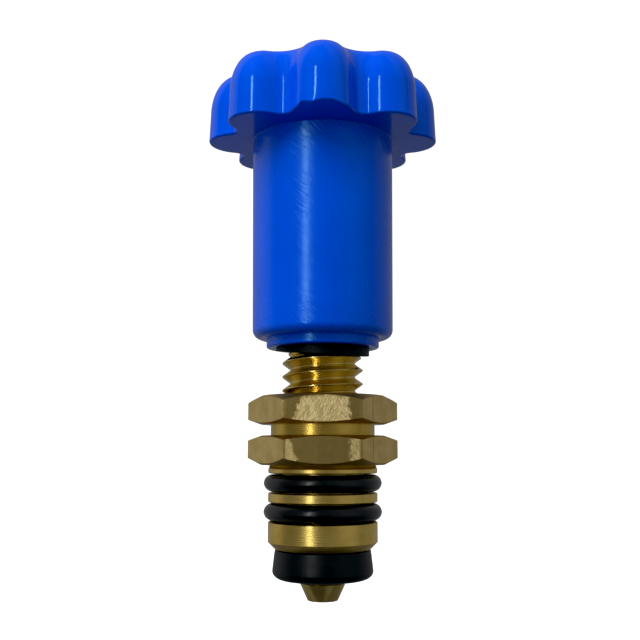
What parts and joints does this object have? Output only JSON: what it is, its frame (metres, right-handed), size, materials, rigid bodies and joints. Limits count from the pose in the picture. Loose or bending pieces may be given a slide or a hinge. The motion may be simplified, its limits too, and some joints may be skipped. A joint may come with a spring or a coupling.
{
  "type": "filling valve",
  "caption": "Boiler filling valve cartridge: brass hexagon body with clip groove and O-ring spigot, threaded rising spindle with seat seal, and a fluted plastic knob on a long sleeve.",
  "frame": {"origin": "on the spindle axis, in the plane of the shoulder under the hexagon that seats on the boiler's water block", "axes": "+Z along the spindle, from the nose towards the knob; a flat of the hexagon and a lobe of the knob face -Y"},
  "size_m": [0.0346, 0.0346, 0.078],
  "materials": {
    "brass": "turned from bar, raw, slightly dull on the hexagon's flats",
    "rubber": "moulded, satin",
    "blue_plastic": "injection moulded, glossy, saturated blue",
    "black_plastic": "moulded, matt black",
    "steel": "zinc plated"
  },
  "bodies": {
    "cartridge": {"valve_body": "brass", "upper_o_ring": "rubber", "lower_o_ring": "rubber"},
    "seal": {"seat_seal": "rubber"},
    "handle": {"spindle": "brass", "stem_o_ring_upper": "rubber", "stem_o_ring_lower": "rubber", "knob": "blue_plastic", "drive_bush": "black_plastic", "screw_washer": "steel", "knob_screw": "steel", "knob_cap": "blue_plastic"}
  },
  "joints": [
    {"name": "seal_travel", "type": "slide", "parent": "cartridge", "child": "seal", "axis": [0, 0, 1], "range_m": [-0.005, 0]},
    {"name": "knob_turn", "type": "hinge", "parent": "seal", "child": "handle", "pos_m": [0, 0, 0], "axis": [0, 0, 1], "range_deg": [-900, 0]}
  ],
  "couplings": [
    {"joint": "knob_turn", "follows": "seal_travel", "rad_per_m": 3141.6}
  ]
}
